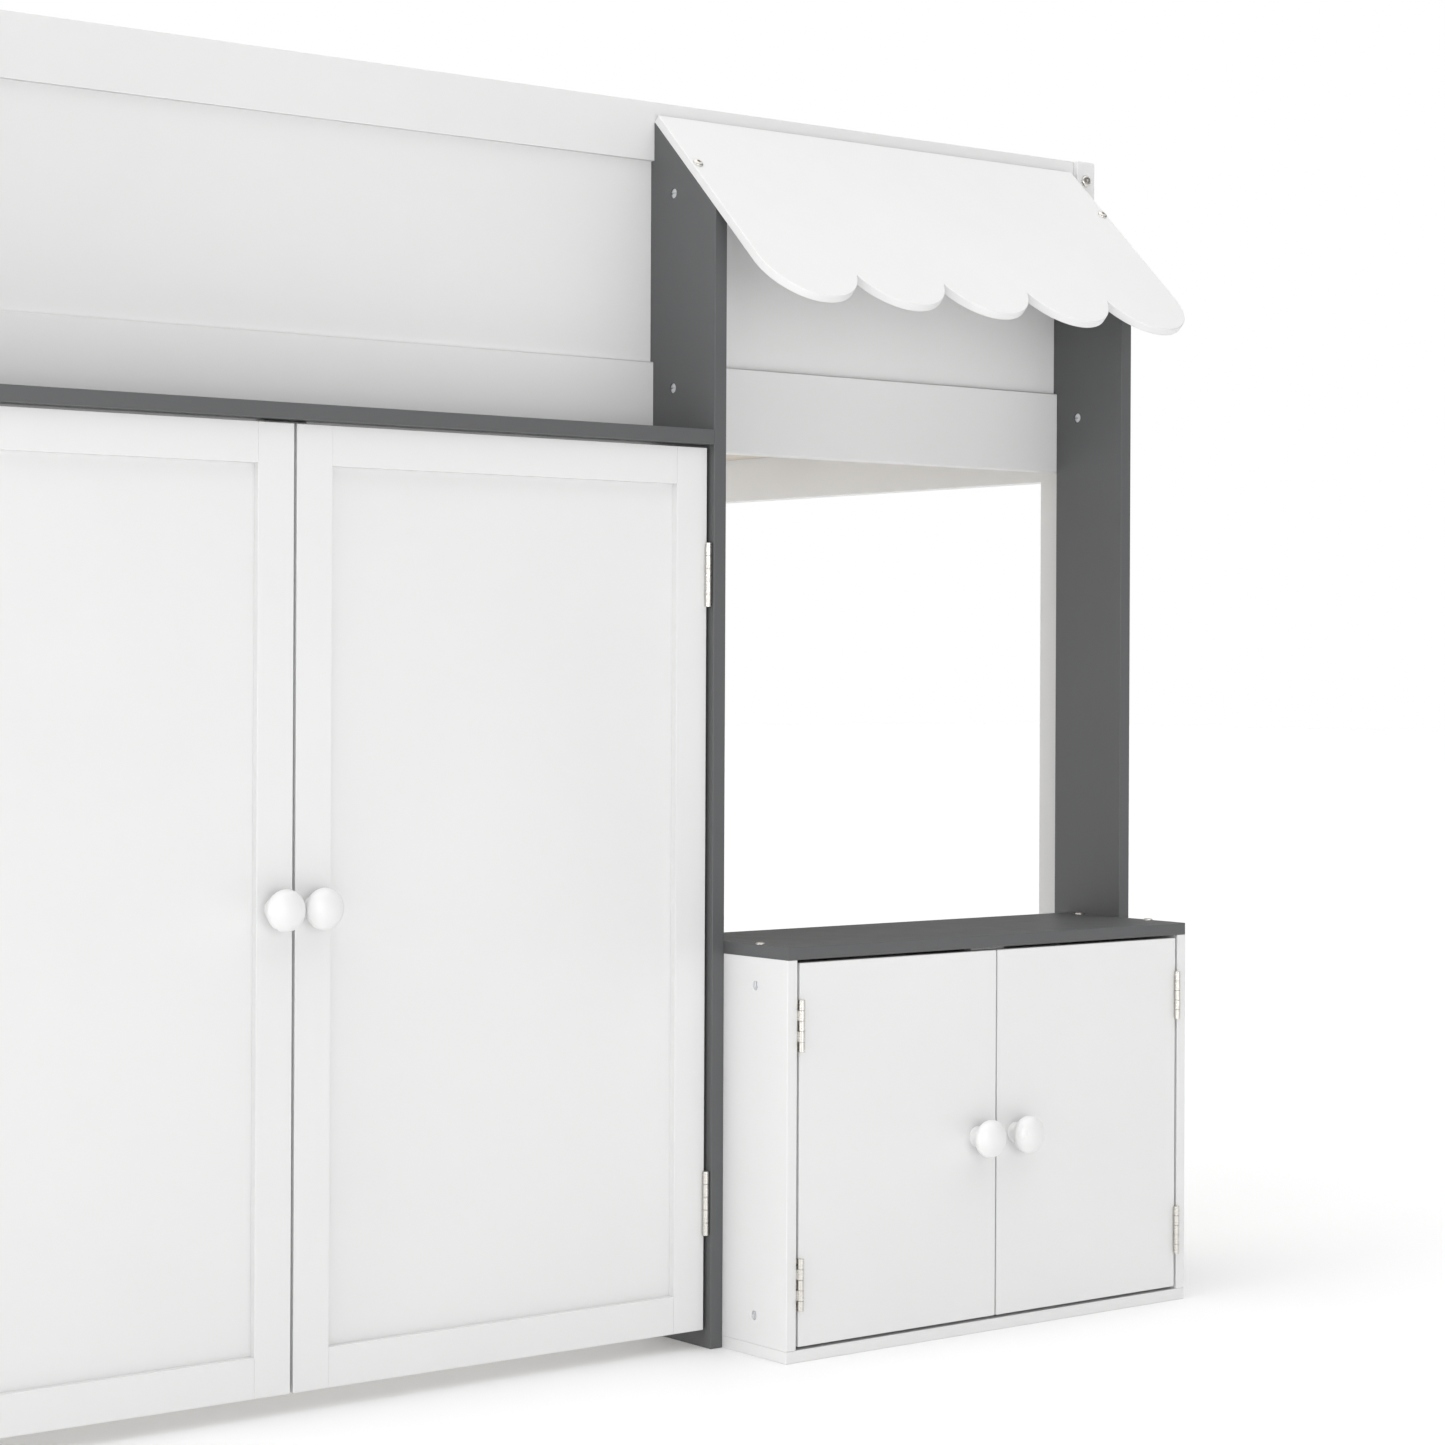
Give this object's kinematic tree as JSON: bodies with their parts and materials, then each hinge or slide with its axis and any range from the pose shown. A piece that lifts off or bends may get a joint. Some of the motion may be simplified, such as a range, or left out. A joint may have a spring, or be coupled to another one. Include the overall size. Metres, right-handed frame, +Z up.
{
  "type": "low loft bed playhouse",
  "caption": "Low loft bed with a playhouse front: framed doors under a header, scalloped awning over a serving window, and a small counter cabinet with two doors.",
  "frame": {"origin": "on the floor, midway along and midway across the whole piece", "axes": "+X along the front to the cabinet's end, +Y from the playhouse front to the back, +Z up"},
  "size_m": [1.976, 1.278, 1.25],
  "materials": {
    "white_paint": "satin white lacquer on wood and board",
    "white_knob": "satin white lacquer on a turned knob",
    "grey_paint": "satin mid-grey lacquer on board",
    "bare_pine": "planed bare pine",
    "nickel_hardware": "satin nickel plate",
    "zinc_hardware": "bright zinc plate",
    "catch_plastic": "matt white plastic"
  },
  "bodies": {
    "frame": {"front_left_post": "white_paint", "front_right_post": "white_paint", "back_left_post": "white_paint", "back_right_post": "white_paint", "front_top_rail": "white_paint", "front_guard_panel": "white_paint", "front_bottom_rail": "white_paint", "entry_stile": "white_paint", "back_top_rail": "white_paint", "back_guard_panel": "white_paint", "back_bottom_rail": "white_paint", "end_top_rails": "white_paint", "end_guard_panels": "white_paint", "end_bottom_rails": "white_paint", "slat_ledgers": "bare_pine", "slats": "bare_pine", "left_fin": "grey_paint", "middle_fin": "grey_paint", "right_fin": "grey_paint", "header_board": "grey_paint", "awning": "white_paint", "awning_screws": "zinc_hardware", "counter": "grey_paint", "cabinet_left_side": "white_paint", "cabinet_right_side": "white_paint", "cabinet_base": "white_paint", "cabinet_back": "white_paint", "frame_leaves": "nickel_hardware", "frame_leaf_screws": "zinc_hardware", "hinge_pins": "nickel_hardware", "frame_bolts": "zinc_hardware", "barrel_nuts": "zinc_hardware", "magnet_catches": "catch_plastic", "ladder_stiles": "white_paint", "ladder_treads": "white_paint", "ladder_screws": "zinc_hardware"},
    "left_door": {"left_door_stiles": "white_paint", "left_door_rails": "white_paint", "left_door_panel": "white_paint", "left_door_knob": "white_knob", "left_door_leaves": "nickel_hardware", "left_door_screws": "zinc_hardware", "left_door_strike": "nickel_hardware"},
    "right_door": {"right_door_stiles": "white_paint", "right_door_rails": "white_paint", "right_door_panel": "white_paint", "right_door_knob": "white_knob", "right_door_leaves": "nickel_hardware", "right_door_screws": "zinc_hardware", "right_door_strike": "nickel_hardware"},
    "cabinet_left_door": {"cabinet_left_door": "white_paint", "cabinet_left_knob": "white_knob", "cabinet_left_leaves": "nickel_hardware", "cabinet_left_screws": "zinc_hardware", "cabinet_left_strike": "nickel_hardware"},
    "cabinet_right_door": {"cabinet_right_door": "white_paint", "cabinet_right_knob": "white_knob", "cabinet_right_leaves": "nickel_hardware", "cabinet_right_screws": "zinc_hardware", "cabinet_right_strike": "nickel_hardware"}
  },
  "joints": [
    {"name": "left_door_hinge", "type": "hinge", "parent": "frame", "child": "left_door", "pos_m": [-0.5756, -0.5034, 0.456], "axis": [0, 0, 1], "range_deg": [-135, 0]},
    {"name": "right_door_hinge", "type": "hinge", "parent": "frame", "child": "right_door", "pos_m": [0.3626, -0.5034, 0.456], "axis": [0, 0, 1], "range_deg": [0, 90]},
    {"name": "cabinet_left_hinge", "type": "hinge", "parent": "frame", "child": "cabinet_left_door", "pos_m": [0.3964, -0.6114, 0.20175], "axis": [0, 0, 1], "range_deg": [-90, 0]},
    {"name": "cabinet_right_hinge", "type": "hinge", "parent": "frame", "child": "cabinet_right_door", "pos_m": [0.9176, -0.6114, 0.20175], "axis": [0, 0, 1], "range_deg": [0, 170]}
  ]
}
